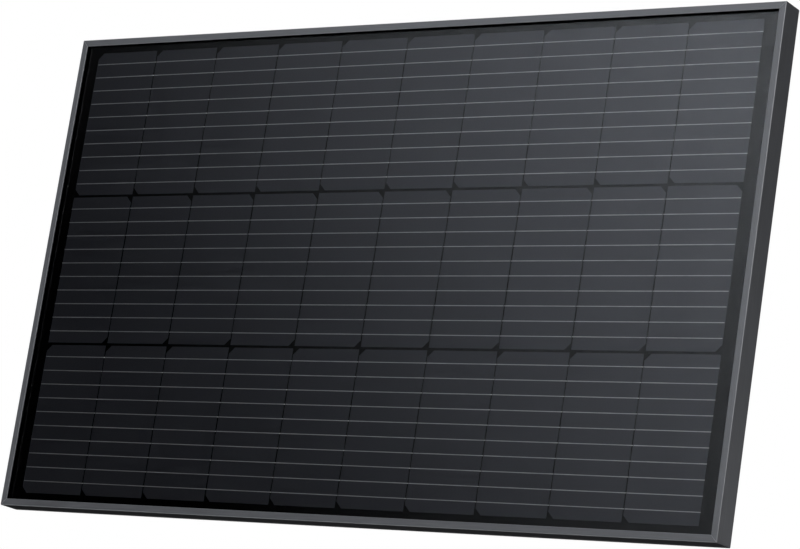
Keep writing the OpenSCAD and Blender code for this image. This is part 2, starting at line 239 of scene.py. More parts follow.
class Shader(NodeTree):
    """A new material's node tree, with the patterns that the materials share."""

    def __init__(self, name):
        self.material = bpy.data.materials.new(name)
        self.material.use_nodes = True
        super().__init__(self.material.node_tree, "ShaderNodeOutputMaterial")

    def finish(self, node):
        """Ends the material in a shader node and returns it."""
        self.surface(node)
        return self.material

    def position(self):
        """Where a point of the surface is, in the model's own metres."""
        return self.add("ShaderNodeTexCoord").outputs["Object"]

    def grain(self, scale, stretch=EVEN):
        """Noise over the surface. A stretch below 1 along an axis draws it out that way."""
        mapping = self.add("ShaderNodeMapping", {"Scale": stretch})
        self.link(self.position(), mapping.inputs["Vector"])
        texture = self.add("ShaderNodeTexNoise", {"Scale": scale, "Detail": NOISE_DETAIL})
        self.link(mapping.outputs["Vector"], texture.inputs["Vector"])
        return texture.outputs["Fac"]

    def spread(self, value, low, high):
        """The part of a noise's 0 to 1 that it mostly stays in, spread from low to high."""
        least, most = NOISE_RANGE
        remap = self.add("ShaderNodeMapRange", {
            "From Min": least, "From Max": most, "To Min": low, "To Max": high})
        self.link(value, remap.inputs["Value"])
        return remap.outputs["Result"]

    def tint(self, value, dark, light):
        """A colour between two, by a noise."""
        mix = self.add("ShaderNodeMix", data_type="RGBA")
        mix.inputs["A"].default_value = (*dark, 1)
        mix.inputs["B"].default_value = (*light, 1)
        self.link(self.spread(value, 0, 1), mix.inputs["Factor"])
        return mix.outputs["Result"]

    def edge_highlight_mask(self):
        """1 where the surface faces between two of the model's axes, 0 where it faces along one. It marks
        where the painted edge highlight goes.
        """
        coordinates = self.add("ShaderNodeTexCoord")
        facing = self.add("ShaderNodeVectorMath", operation="ABSOLUTE")
        self.link(coordinates.outputs["Normal"], facing.inputs[0])
        x, y, z = self.axes(facing.outputs[0])
        largest = self.calculated("MAXIMUM", self.calculated("MAXIMUM", x, y), z)
        remap = self.add("ShaderNodeMapRange", {"From Min": FACING_STRAIGHT, "From Max": FACING_BETWEEN})
        self.link(largest, remap.inputs["Value"])
        return remap.outputs["Result"]

    def bump(self, value, height):
        """A normal that follows a noise, of a height in metres."""
        bump = self.add("ShaderNodeBump", {"Strength": 1, "Distance": height})
        self.link(value, bump.inputs["Height"])
        return bump.outputs["Normal"]


def grained(name, dark, light, rough, scale, stretch=EVEN, height=0, **sockets):
    """A Principled material whose colour, roughness and bump all follow one noise."""
    shader = Shader(name)
    values = {key.replace("_", " "): value for key, value in sockets.items()}
    principled = shader.add("ShaderNodeBsdfPrincipled", values)
    grain = shader.grain(scale, stretch)
    shader.link(shader.tint(grain, dark, light), principled.inputs["Base Color"])
    shader.link(shader.spread(grain, *rough), principled.inputs["Roughness"])
    if height:
        shader.link(shader.bump(grain, height), principled.inputs["Normal"])
    return shader.finish(principled)


def anodised(name, stretch):
    """Dark anodised aluminium drawn along one axis, with a painted highlight: its rounded edges and mitre
    chamfers are coloured lighter.
    """
    shader = Shader(name)
    principled = shader.add("ShaderNodeBsdfPrincipled", {"Metallic": ANODISED_METALLIC})
    grain = shader.grain(ANODISED_GRAIN, stretch)
    colour = shader.add("ShaderNodeMix", data_type="RGBA")
    colour.inputs["B"].default_value = (*ANODISED_EDGE_HIGHLIGHT, 1)
    shader.link(shader.tint(grain, ANODISED_DARK, ANODISED_LIGHT), colour.inputs["A"])
    # Painted highlight: the rounded edges and chamfers take the lighter colour, as if they caught the light.
    shader.link(shader.edge_highlight_mask(), colour.inputs["Factor"])
    shader.link(colour.outputs["Result"], principled.inputs["Base Color"])
    shader.link(shader.spread(grain, *ANODISED_ROUGH), principled.inputs["Roughness"])
    shader.link(shader.bump(grain, ANODISED_BUMP), principled.inputs["Normal"])
    return shader.finish(principled)


def clear_pane(name, roughness, tint, index, bends=False):
    """Coated glass or film: see-through up to about 50 degrees from straight on, where the gloss
    of what lies behind it shows, and glossier towards grazing. Seen from behind it is plain.
    A pane that bends shifts what is seen through it, while light goes straight through."""
    shader = Shader(name)
    straight = shader.add("ShaderNodeBsdfTransparent", {"Color": (*tint, 1)})
    gloss = shader.add("ShaderNodeBsdfGlossy", {"Roughness": roughness, "Color": (1, 1, 1, 1)})
    fresnel = shader.add("ShaderNodeFresnel", {"IOR": index})
    grazing = shader.add("ShaderNodeMapRange", {"From Min": GRAZING_START, "To Max": GRAZING_SHARE})
    shader.link(fresnel.outputs[0], grazing.inputs["Value"])
    side = shader.add("ShaderNodeNewGeometry").outputs["Backfacing"]
    outside = shader.calculated("SUBTRACT", 1, side)
    share = shader.calculated("MULTIPLY", grazing.outputs["Result"], outside)
    through = straight
    if bends:
        bent = shader.add("ShaderNodeBsdfRefraction", {
            "Color": (*tint, 1), "Roughness": 0, "IOR": index})
        path = shader.add("ShaderNodeLightPath")
        seen = shader.add("ShaderNodeMix", data_type="FLOAT")
        shader.link(side, seen.inputs["Factor"])
        shader.link(path.outputs["Is Camera Ray"], seen.inputs["A"])
        shader.link(path.outputs["Is Transmission Ray"], seen.inputs["B"])
        through = shader.mixed(seen.outputs["Result"], straight, bent)
    return shader.finish(shader.mixed(share, through, gloss))


# ---------------- materials

ALONG_X = (0.05, 1, 1)
ANODISED_DARK = (0.156, 0.161, 0.174)
ANODISED_LIGHT = (0.192, 0.198, 0.213)
# Colour of the painted highlight on the rails' rounded edges and mitre chamfers.
ANODISED_EDGE_HIGHLIGHT = (0.40, 0.41, 0.43)
ANODISED_METALLIC = 0.55
ANODISED_ROUGH = (0.36, 0.46)
ANODISED_GRAIN = 900
ANODISED_BUMP = 0.004 * MM
# The gloss seen through the glass is narrow, so that thin gaps between the cells stay free of noise.
LAMINATE_GLOSS = (0.06, 0.08)
GLASS_COAT = {"Coat_Weight": 1, "Coat_Roughness": 0.07}

anodised_x = anodised("anodised_along_x", (0.02, 1, 1))
anodised_z = anodised("anodised_along_z", (1, 1, 0.02))
glass_pane = clear_pane("solar_glass", roughness=0.26, tint=(0.975, 0.975, 0.978), index=1.52, bends=True)
clear_film = clear_pane("clear_film", roughness=0.4, tint=(0.995, 0.995, 0.995), index=1.001)
black_film = grained(
    "black_film", (0.0004, 0.0004, 0.0005), (0.0008, 0.0008, 0.0009), rough=LAMINATE_GLOSS, scale=600)
silicon = grained(
    "silicon", (0.0026, 0.0027, 0.0038), (0.0034, 0.0035, 0.0048), rough=(0.28, 0.36), scale=620,
    stretch=(0.015, 1, 1), Specular_Tint=(0.96, 1, 1.16, 1), **GLASS_COAT)
silver_print = grained(
    "silver_print", (0.018, 0.018, 0.020), (0.026, 0.026, 0.028), rough=(0.34, 0.38), scale=900,
    stretch=(1, 1, 0.1), **GLASS_COAT)
tinned = grained(
    "tinned_copper", (0.31, 0.31, 0.312), (0.40, 0.40, 0.40), rough=(0.29, 0.34), scale=1200,
    stretch=ALONG_X, height=0.004 * MM, Metallic=1, **GLASS_COAT)
black_back = grained(
    "black_backsheet", (0.009, 0.009, 0.010), (0.014, 0.014, 0.015), rough=(0.48, 0.62), scale=1400,
    height=0.02 * MM)
silicone = grained(
    "silicone", (0.008, 0.008, 0.009), (0.013, 0.013, 0.014), rough=(0.35, 0.5), scale=500,
    height=0.02 * MM)
mill_aluminium = grained(
    "mill_aluminium", (0.42, 0.42, 0.43), (0.52, 0.52, 0.53), rough=(0.35, 0.5), scale=600,
    stretch=(0.1, 1, 1), height=0.01 * MM, Metallic=1)
moulded = grained(
    "moulded_black", (0.017, 0.017, 0.018), (0.024, 0.024, 0.025), rough=(0.32, 0.44), scale=2200,
    height=0.02 * MM)
rubber = grained(
    "rubber", (0.009, 0.009, 0.009), (0.014, 0.014, 0.014), rough=(0.6, 0.75), scale=800,
    height=0.01 * MM)
foam = grained(
    "foam", (0.016, 0.016, 0.017), (0.026, 0.026, 0.027), rough=(0.8, 0.9), scale=1500,
    height=0.05 * MM)
drawn_steel = grained(
    "drawn_steel", (0.42, 0.43, 0.44), (0.52, 0.53, 0.54), rough=(0.25, 0.38), scale=1200,
    stretch=ALONG_X, height=0.004 * MM, Metallic=1)
tin_plate = grained(
    "tin_plate", (0.52, 0.52, 0.51), (0.62, 0.62, 0.61), rough=(0.28, 0.42), scale=500,
    height=0.006 * MM, Metallic=1)
epoxy = grained(
    "epoxy", (0.012, 0.012, 0.013), (0.018, 0.018, 0.020), rough=(0.3, 0.4), scale=900,
    height=0.01 * MM)


def coated_bus(bare_y):
    """Tinned strip with a black coat in front of a depth, bare behind it."""
    shader = Shader("coated_bus")
    principled = shader.add("ShaderNodeBsdfPrincipled")
    bare = shader.calculated("GREATER_THAN", shader.axes(shader.position())["Y"], bare_y)
    grain = shader.grain(500)
    colour = shader.add("ShaderNodeMix", data_type="RGBA")
    colour.inputs["A"].default_value = (0.0006, 0.0006, 0.0007, 1)
    shader.link(shader.tint(grain, (0.50, 0.50, 0.49), (0.62, 0.62, 0.61)), colour.inputs["B"])
    shader.link(bare, colour.inputs["Factor"])
    shader.link(colour.outputs["Result"], principled.inputs["Base Color"])
    shader.link(bare, principled.inputs["Metallic"])
    gloss = shader.add("ShaderNodeMapRange", {"To Min": LAMINATE_GLOSS[0], "To Max": 0.34})
    shader.link(bare, gloss.inputs["Value"])
    shader.link(gloss.outputs["Result"], principled.inputs["Roughness"])
    return shader.finish(principled)


def ruled_label():
    """Silver foil printed with a table of empty boxes."""
    column, row, line = 48 * MM, 7.25 * MM, 0.25 * MM
    shader = Shader("ruled_label")
    principled = shader.add("ShaderNodeBsdfPrincipled", {"Metallic": 0.4})
    low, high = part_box("rating_label")
    turn = shader.add("ShaderNodeMapping", {
        "Rotation": (math.pi / 2, 0, 0), "Location": (-low.x, high.z, 0)})
    shader.link(shader.position(), turn.inputs["Vector"])
    table = shader.add("ShaderNodeTexBrick", {
        "Color1": (0.55, 0.56, 0.57, 1), "Color2": (0.50, 0.51, 0.52, 1), "Mortar": (0.03, 0.03, 0.032, 1),
        "Scale": 1, "Mortar Size": line, "Mortar Smooth": 0.1, "Brick Width": column, "Row Height": row})
    table.offset = 0
    shader.link(turn.outputs["Vector"], table.inputs["Vector"])
    shader.link(table.outputs["Color"], principled.inputs["Base Color"])
    shader.link(shader.spread(shader.grain(350), 0.3, 0.4), principled.inputs["Roughness"])
    return shader.finish(principled)


# ---------------- frame rails

LIP_W = 8 * MM
LIP_T = 1.8 * MM
WALL_T = 1.6 * MM
SHELF_W = 11 * MM
CHAMBER_END = 9.4 * MM
INNER_WALL = 10.8 * MM
FLANGE_W = 24 * MM
BEAD_W = 1.2 * MM
BEAD_H = 2.8 * MM
EDGE_R = 1 * MM
SMALL_R = 0.5 * MM
FLAT_HOLD = 0.4 * MM
MITRE_GAP = 0.05 * MM
MITRE_CHAMFER = 0.35 * MM
RAIL_FILLET = 0.4 * MM
CHAMBER_R = 0.6 * MM
SHELF_Y = -22.27 * MM
HOLE_INSET = 17.5 * MM
MOUNTING_SLOT_X = 300 * MM
GROUNDING_HOLE_X = 80 * MM
GROUNDING_HOLE_D = 4.2 * MM
DRAIN_INSET = 42 * MM
DRAIN_W = 3.5 * MM
SLOT_W = 7 * MM
SLOT_L = 12 * MM
ROUND_MARGIN = 0.01 * MM
channel_y = front + LIP_T
chamber_y = SHELF_Y + WALL_T


def rail_outline():
    """Section of a rail: X is the distance in from the outer face, Y is depth. The two faces that
    show most have a point near each rounded edge, so that they shade flat."""
    fillet = RAIL_FILLET
    return [
        (0, front + EDGE_R + FLAT_HOLD),
        *arc((EDGE_R, front + EDGE_R), EDGE_R, 180, 270, 6),
        (EDGE_R + FLAT_HOLD, front),
        (LIP_W - SMALL_R - FLAT_HOLD, front),
        *arc((LIP_W - SMALL_R, front + SMALL_R), SMALL_R, 270, 360, 4),
        *arc((LIP_W - SMALL_R, channel_y - SMALL_R), SMALL_R, 0, 90, 3),
        *arc((WALL_T + fillet, channel_y + fillet), fillet, 270, 180, 3),
        *arc((WALL_T + fillet, SHELF_Y - fillet), fillet, 180, 90, 3),
        *arc((SHELF_W - fillet, SHELF_Y + fillet), fillet, 270, 360, 3),
        *arc((SHELF_W - fillet, chamber_y - fillet), fillet, 0, 90, 3),
        (INNER_WALL, chamber_y),
        *arc((INNER_WALL + fillet, -WALL_T - fillet), fillet, 180, 90, 3),
        *arc((FLANGE_W - BEAD_W - fillet, -WALL_T - fillet), fillet, 90, 0, 3),
        *arc((FLANGE_W - BEAD_W / 2, -BEAD_H + BEAD_W / 2), BEAD_W / 2, 180, 360, 6),
        *arc((FLANGE_W - SMALL_R, -SMALL_R), SMALL_R, 0, 90, 4),
        *arc((SMALL_R, -SMALL_R), SMALL_R, 90, 180, 4),
        (0, -SMALL_R - FLAT_HOLD),
    ]


def chamber_outline():
    """Section of the hollow that the corner keys sit in."""
    r = CHAMBER_R
    low, high, deep, near = WALL_T, CHAMBER_END, chamber_y, -WALL_T
    return [
        *arc((low + r, deep + r), r, 180, 270, 3),
        *arc((high - r, deep + r), r, 270, 360, 3),
        *arc((high - r, near - r), r, 0, 90, 3),
        *arc((low + r, near - r), r, 90, 180, 3),
    ]


def rail_mesh(length, place):
    """A mitred rail. place(s, inset, y) gives the point at s along the rail."""
    outer, inner = rail_outline(), chamber_outline()
    shrunk = offset_loop(outer, MITRE_CHAMFER)
    half = length / 2 - MITRE_GAP
    vertices, faces = [], []

    def ring(loop, side, back):
        start = len(vertices)
        vertices.extend(place(side * (half - back - u), u, y) for u, y in loop)
        return list(range(start, start + len(loop)))

    def walls(one, two):
        count = len(one)
        faces.extend((one[i], one[(i + 1) % count], two[(i + 1) % count], two[i]) for i in range(count))

    ends = []
    for side in (-1, 1):
        rim = ring(shrunk, side, 0)
        skin = ring(outer, side, MITRE_CHAMFER)
        hole = ring(inner, side, 0)
        walls(rim, skin)
        ends.append((skin, hole))
        flat = [[Vector((*p, 0)) for p in shrunk], [Vector((*p, 0)) for p in inner]]
        around = rim + hole
        faces.extend(tuple(around[i] for i in face) for face in geometry.tessellate_polygon(flat))
    walls(ends[0][0], ends[1][0])
    walls(ends[0][1], ends[1][1])
    return vertices, faces


def slot_cutter(x, z, width, length):
    """A slot through the rear flange, its length along X."""
    r, run = width / 2, (length - width) / 2
    outline = arc((x + run, z), r, -90, 90, 12) + arc((x - run, z), r, 90, 270, 12)
    return plain_object("slot_cutter", *capped_loft(
        [[(px, y, pz) for px, pz in outline] for y in (-2 * WALL_T, WALL_T)]))


def flange_cutters(z):
    """Mounting slots, drain slots and grounding holes of one long rail."""
    cutters = []
    for side in (-1, 1):
        cutters.append(slot_cutter(side * MOUNTING_SLOT_X, z, SLOT_W, SLOT_L))
        cutters.append(slot_cutter(side * (right - DRAIN_INSET), z, DRAIN_W, SLOT_L))
        cutters.append(slot_cutter(side * GROUNDING_HOLE_X, z, GROUNDING_HOLE_D,
                                   GROUNDING_HOLE_D + ROUND_MARGIN))
    return cutters


def build_rails():
    width, height = right - left, top - bottom
    rails = {
        "bottom": (width, lambda s, u, y: (s, y, bottom + u), anodised_x),
        "top": (width, lambda s, u, y: (s, y, top - u), anodised_x),
        "left": (height, lambda s, u, y: (left + u, y, s), anodised_z),
        "right": (height, lambda s, u, y: (right - u, y, s), anodised_z),
    }
    for name, (length, place, material) in rails.items():
        made = piece(f"rail_{name}", *rail_mesh(length, place), material, "frame",
                     replaces=[f"frame_rail_{name}"], crease=28)
        if name in ("bottom", "top"):
            z = (bottom + HOLE_INSET) if name == "bottom" else (top - HOLE_INSET)
            cut(made, flange_cutters(z))


# ---------------- laminate

glass_low, glass_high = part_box("front_glass")
backsheet_low, backsheet_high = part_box("backsheet")
cell_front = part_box("cell_top_01")[0].y
cell_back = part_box("cell_top_01")[1].y
RIBBON_W = 0.9 * MM
RIBBON_T = 0.22 * MM
RIBBON_COUNT = 10
RIBBON_PITCH = 17 * MM
RIBBON_START = 0.8 * MM
RIBBON_TAIL = 4 * MM
RIBBON_BEND = 1.5 * MM
LAST_BEND = 3 * MM
BEND_SHARES = (0.1, 0.3, 0.5, 0.7, 0.9)
CELL_CHAMFER = 8 * MM
FINGER_PITCH = 1.3 * MM
FINGER_W = 0.05 * MM
FINGER_H = 0.015 * MM
FINGER_SUNK = 0.001 * MM
FINGER_INSET = 1 * MM
GLASS_CHAMFER = 0.6 * MM
FILM_CHAMFER = 0.1 * MM


def rectangle(low, high, inset, y):
    """A rectangular ring at one depth."""
    x0, x1, z0, z1 = low.x + inset, high.x - inset, low.z + inset, high.z - inset
    return [(x0, y, z0), (x1, y, z0), (x1, y, z1), (x0, y, z1)]


def slab(low, high, y0, y1, chamfer):
    """Vertices and faces of a flat plate with chamfered edges."""
    return capped_loft([
        rectangle(low, high, chamfer, y0),
        rectangle(low, high, 0, y0 + chamfer),
        rectangle(low, high, 0, y1 - chamfer),
        rectangle(low, high, chamfer, y1),
    ])


def build_glass_and_film():
    piece("glass_pane", *slab(glass_low, glass_high, glass_low.y, glass_high.y, GLASS_CHAMFER),
          glass_pane, "glass", replaces=["front_glass"])
    film_front, film_back = glass_high.y + LAYER_GAP, cell_front - 2 * LAYER_GAP
    piece("clear_film", *slab(glass_low, glass_high, film_front, film_back, FILM_CHAMFER),
          clear_film, "clear_film", replaces=["front_encapsulant"])


def ribbon_section():
    """Flat tape with rounded shoulders: (across, height), the height towards the glass."""
    half, shoulder = RIBBON_W / 2, RIBBON_T * 0.35
    return [
        (-half, 0),
        *arc((-half + shoulder, RIBBON_T - shoulder), shoulder, 180, 90, 4),
        *arc((half - shoulder, RIBBON_T - shoulder), shoulder, 90, 0, 4),
        (half, 0),
    ]


def row_columns(row):
    """(left edge, right edge) of every cell in a row, from the frame."""
    boxes = [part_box(f"cell_{row}_{i + 1:02d}") for i in range(COLUMNS)]
    return [(low.x, high.x) for low, high in boxes]


def ribbon_heights(row):
    """Z of each ribbon's middle, from the bottom of the row."""
    low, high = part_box(f"cell_{row}_01")
    middle = (low.z + high.z) / 2
    return [middle + (line - (RIBBON_COUNT - 1) / 2) * RIBBON_PITCH for line in range(RIBBON_COUNT)]


def ribbon_paths(row):
    """The (x, y) stations of each bare and each coated ribbon segment of a row. A segment runs on
    the front of one cell, steps back through the gap and ends behind the next. Outside the cells
    it is coated black. The middle row runs the other way."""
    flip = -1 if row == "middle" else 1
    edges = sorted((min(flip * a, flip * b), max(flip * a, flip * b)) for a, b in row_columns(row))
    front_y, rear_y = cell_front, cell_back + RIBBON_T
    bus_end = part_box("bus_link_right")[1].x
    bare = []
    coated = [[(-bus_end, rear_y), (edges[0][1] - RIBBON_TAIL, rear_y)]]
    for i in range(COLUMNS):
        start, gap_start = edges[i]
        last = i + 1 == COLUMNS
        gap_end = gap_start + LAST_BEND if last else edges[i + 1][0]
        finish = bus_end if last else edges[i + 1][1] - RIBBON_TAIL
        stations = [(start + RIBBON_START, front_y), (gap_start - RIBBON_BEND, front_y)]
        for t in BEND_SHARES:
            ease = 3 * t * t - 2 * t ** 3
            stations.append((gap_start + (gap_end - gap_start) * t, front_y + (rear_y - front_y) * ease))
        stations.append((finish, rear_y))
        if last:
            bare.append(stations[:3])
            coated.append(stations[2:])
        else:
            bare.append(stations)
    return [[[(flip * x, y) for x, y in path] for path in paths] for paths in (bare, coated)]


def build_ribbons(row):
    section = ribbon_section()
    bare, coated = ribbon_paths(row)
    for name, paths, material, replaced in (("ribbon_lines", bare, tinned, [f"ribbons_{row}"]),
                                            ("ribbon_tails", coated, black_film, [])):
        vertices, faces = [], []
        for z in ribbon_heights(row):
            for path in paths:
                rings = [[(x, y - h, z + across) for across, h in section] for x, y in path]
                some_vertices, some_faces = capped_loft(rings)
                base = len(vertices)
                vertices += some_vertices
                faces += [tuple(base + i for i in face) for face in some_faces]
        piece(f"{name}_{row}", vertices, faces, material, "ribbon", replaces=replaced, crease=40)


def box_faces(base):
    """The six faces of a box whose eight corners start at an index."""
    quads = ((0, 1, 3, 2), (4, 6, 7, 5), (0, 4, 5, 1), (2, 3, 7, 6), (0, 2, 6, 4), (1, 5, 7, 3))
    return [tuple(base + i for i in quad) for quad in quads]


def build_fingers(row):
    """Fine printed lines across the front of every cell, at right angles to the ribbons."""
    vertices, faces = [], []
    for column in range(COLUMNS):
        low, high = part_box(f"cell_{row}_{column + 1:02d}")
        count = int((high.x - low.x - 2 * FINGER_INSET) / FINGER_PITCH)
        first = (low.x + high.x - (count - 1) * FINGER_PITCH) / 2
        for i in range(count):
            x = first + i * FINGER_PITCH
            from_edge = min(x - low.x, high.x - x)
            chamfered = (x > (low.x + high.x) / 2) == (row == "middle")
            inset = FINGER_INSET + (max(0, CELL_CHAMFER - from_edge) if chamfered else 0)
            z0, z1 = low.z + inset, high.z - inset
            base = len(vertices)
            vertices += [(px, py, pz) for px in (x - FINGER_W / 2, x + FINGER_W / 2)
                         for py in (cell_front - FINGER_H, cell_front - FINGER_SUNK) for pz in (z0, z1)]
            faces += box_faces(base)
    piece(f"fingers_{row}", vertices, faces, silver_print, "ribbon")


# ---------------- sealant

SEALANT_STEP = 9 * MM
SEALANT_SET_BACK = 0.7 * MM
LAMINATE_GRIP = 3.2 * MM
BULGE = 0.9 * MM
SWELL = 0.5 * MM
SWELLS_PER_METRE = 55


def sealant_section(bulge):
    """(inset, y) outline: set back under the lip, filled round the laminate, squeezed out behind."""
    lip_in, shelf_in, back = LIP_W - SEALANT_SET_BACK, SHELF_W, backsheet_high.y
    return [
        (WALL_T, channel_y),
        (lip_in, channel_y),
        (lip_in + 0.2 * MM, channel_y + 0.3 * MM),
        (lip_in, glass_low.y),
        (LAMINATE_GRIP, glass_low.y),
        (LAMINATE_GRIP, back),
        (shelf_in + bulge, back),
        (shelf_in + bulge * 0.92, back + 0.25 * MM),
        (shelf_in + bulge * 0.6, back + 0.5 * MM),
        (shelf_in, SHELF_Y + 0.15 * MM),
        (shelf_in - 0.3 * MM, SHELF_Y),
        (WALL_T, SHELF_Y),
    ]


def build_sealant():
    """Sealant round the laminate's edge, mitred at the corners, its bulge uneven along the way."""
    corners = [(left, bottom), (right, bottom), (right, top), (left, top)]
    inner = [(1, 1), (-1, 1), (-1, -1), (1, -1)]
    rings = []
    for k in range(4):
        (x0, z0), (x1, z1) = corners[k], corners[(k + 1) % 4]
        (a0, b0), (a1, b1) = inner[k], inner[(k + 1) % 4]
        count = int(max(abs(x1 - x0), abs(z1 - z0)) / SEALANT_STEP)
        for i in range(count):
            t = i / count
            middle = Vector((x0 + (x1 - x0) * t, 0, z0 + (z1 - z0) * t))
            swell = noise.noise(middle * SWELLS_PER_METRE) * SWELL
            ring = []
            for u, y in sealant_section(BULGE + swell):
                start = Vector((x0 + a0 * u, y, z0 + b0 * u))
                end = Vector((x1 + a1 * u, y, z1 + b1 * u))
                ring.append(start.lerp(end, t))
            rings.append(ring)
    vertices = [p for ring in rings for p in ring]
    faces = strip_faces(len(rings), len(rings[0]), closed_rings=True)
    piece("sealant_bead", vertices, faces, silicone, "sealant", replaces=["edge_seal"])


# ---------------- backsheet

LEAD_SLOT = (10 * MM, 9 * MM)
TERMINAL_GAP = 35 * MM
RISER_Z = 7 * MM
RIDGE_H = 0.08 * MM
# (millimetres across, share of the height)
RIDGE_PROFILE = ((-1.6, 0), (-0.7, 0.6), (0, 1), (0.7, 0.6), (1.6, 0))
RIDGE_STARTS = 8 * MM
RIDGE_FULL = 6 * MM
RIDGE_DIP = 2 * MM
RIDGE_IN_GAP = 0.35


def lead_xs():
    """X of the three openings that the leads come through."""
    return box_x - TERMINAL_GAP, box_x, box_x + TERMINAL_GAP


def lead_opening(x, y0, y1):
    """A cutter for one lead, between two depths."""
    w, h = LEAD_SLOT
    return block("lead_opening", (x - w / 2, y0, RISER_Z - h / 2), (x + w / 2, y1, RISER_Z + h / 2))


def ridge_stations(low_x, high_x):
    """(x, share of the ridges' height): none at the ends, less over the gaps between cells."""
    columns = row_columns("top")
    first, last = columns[0][0], columns[-1][1]
    stations = [(low_x, 0), (first - RIDGE_STARTS, 0), (first - RIDGE_FULL, 1)]
    for (_, gap_start), (gap_end, _) in zip(columns, columns[1:]):
        stations += [(gap_start - RIDGE_DIP, 1), ((gap_start + gap_end) / 2, RIDGE_IN_GAP),
                     (gap_end + RIDGE_DIP, 1)]
    return [*stations, (last + RIDGE_FULL, 1), (last + RIDGE_STARTS, 0), (high_x, 0)]


def build_backsheet():
    """Film with a faint ridge over each ribbon, open where the leads come out."""
    low, high = backsheet_low, backsheet_high
    flat = high.y - RIDGE_H
    heights = sorted((z + across * MM, share) for row in ROWS for z in ribbon_heights(row)
                     for across, share in RIDGE_PROFILE)
    heights = [(low.z, 0), *heights, (high.z, 0)]
    rings = [[(x, low.y, high.z), (x, low.y, low.z),
              *((x, flat + RIDGE_H * share * amount, z) for z, share in heights)]
             for x, amount in ridge_stations(low.x, high.x)]
    sheet = piece("backsheet_film", *capped_loft(rings), black_back, "backsheet",
                  replaces=["backsheet"], crease=60)
    cut(sheet, [lead_opening(x, low.y - MM, high.y + MM) for x in lead_xs()])


# ---------------- junction box

BOX_W = 112 * MM
BOX_H = 78 * MM
BOX_R = 5 * MM
SMALLEST_BOX_R = 0.6 * MM
BOX_WALL = 2.4 * MM
BASE_H = 15.6 * MM
FLOOR_T = 2 * MM
GROOVE_W = 1.2 * MM
GROOVE_D = 1 * MM
LID_T = 2 * MM
LID_RIM_INSET = 3.1 * MM
LID_RIM_T = 1.4 * MM
LID_RIM_H = 2.5 * MM
KNUCKLE_R = 2.9 * MM
KNUCKLE_L = 6 * MM
EAR_X = 33 * MM
KNUCKLE_X = 26.6 * MM
PIN_R = 1.25 * MM
TONGUE_X = 12 * MM
TONGUE_W = 10 * MM
TONGUE_T = 1.6 * MM
TONGUE_L = 9 * MM
TONGUE_GAP = 0.8 * MM
CATCH_H = 0.5 * MM
CATCH_W = 5 * MM
CATCH_DEPTHS = (5.5 * MM, 4.6 * MM, 3.9 * MM)
WINDOW_HALF = 3.2 * MM
WINDOW_DEPTHS = (5.8 * MM, 3.6 * MM)
SPOUT_R = 5 * MM
SLEEVE_R = 3.9 * MM
THREAD_START = 1.6 * MM
THREAD_PITCH = 1 * MM
THREAD_CREST = SPOUT_R - 0.1 * MM
THREAD_ROOT = SPOUT_R - 0.45 * MM
THREAD_TURNS = 6
OVERLAP = 1 * MM
BROKEN_EDGE = 0.2 * MM
HOLE_EDGE = 0.02 * MM
PIN_FIT = 0.01 * MM
PIN_PLAY = 0.07 * MM
RECESS_D = 0.4 * MM
RECESS_INSET = 7.4 * MM
SIGN_HALF = 3 * MM
SIGN_STROKE = 0.6 * MM
SIGN_H = 0.25 * MM
HINGE_GAP = 0.6 * MM
BOX_HEAD = BOX_H / 2
BOX_FOOT = -BOX_H / 2
SIGN_Z = BOX_FOOT + 13 * MM
TONGUE_Z = BOX_FOOT - TONGUE_GAP - TONGUE_T
PIN_END = 0.3 * MM
ROD_STEPS = 40

box_low, box_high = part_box("junction_box_base")
lid_low, lid_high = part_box("junction_box_lid")
gland_low, gland_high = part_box("cable_gland_positive")
box_x = (box_low.x + box_high.x) / 2
base_y = box_low.y
floor_y = base_y + FLOOR_T
rim_y = base_y + BASE_H
lid_y = lid_high.y - LID_T
hinge_y = lid_high.y - KNUCKLE_R
hinge_z = box_high.z - KNUCKLE_R
gland_y = (gland_low.y + gland_high.y) / 2


def block(name, low, high):
    """A box between two corners."""
    corners = [(x, y, z) for x in (low[0], high[0]) for y in (low[1], high[1]) for z in (low[2], high[2])]
    return plain_object(name, corners, box_faces(0))


def box_ring(y, inset):
    """The junction box's outline at one depth, made smaller all round by the inset."""
    w, h, r = BOX_W / 2 - inset, BOX_H / 2 - inset, max(BOX_R - inset, SMALLEST_BOX_R)
    corners = ((w - r, h - r, 0), (r - w, h - r, 90), (r - w, r - h, 180), (w - r, r - h, 270))
    return [(box_x + x, y, z) for cx, cz, start in corners for x, z in arc((cx, cz), r, start, start + 90, 8)]


def box_loft(name, *levels):
    """A solid through the box's outline at (y, inset) levels."""
    return plain_object(name, *capped_loft([box_ring(y, inset) for y, inset in levels]))


def box_frame(name, y0, y1, outside, inside):
    """A wall that follows the box's outline, between two insets."""
    rings = [box_ring(y0, outside), box_ring(y1, outside), box_ring(y1, inside), box_ring(y0, inside)]
    return plain_object(name, [p for ring in rings for p in ring], strip_faces(4, len(rings[0]), True))


def along_x(name, outline, middle, length, chamfer=BROKEN_EDGE):
    """A (y, z) outline drawn out along X, with its end edges broken."""
    small = offset_loop(outline, chamfer)
    stations = ((-length / 2, small), (chamfer - length / 2, outline),
                (length / 2 - chamfer, outline), (length / 2, small))
    return plain_object(name, *capped_loft([[(middle + x, y, z) for y, z in loop] for x, loop in stations]))


def circle(centre, radius, steps=32):
    """A closed ring of points."""
    return arc(centre, radius, 0, 360 * (steps - 1) / steps, steps - 1)


def down_rod(name, x, stations):
    """A round solid along Z through (z, radius) stations, on a gland's axis."""
    rings = [[(x + a, gland_y + b, z) for a, b in circle((0, 0), r, ROD_STEPS)] for z, r in stations]
    return plain_object(name, *capped_loft(rings))


def as_piece(made, name, material, body=PANEL, replaces=(), crease=32):
    """Turns a finished helper mesh into a piece."""
    mesh = made.data
    bpy.data.objects.remove(made)
    return finished(mesh, name, material, body, replaces, crease)


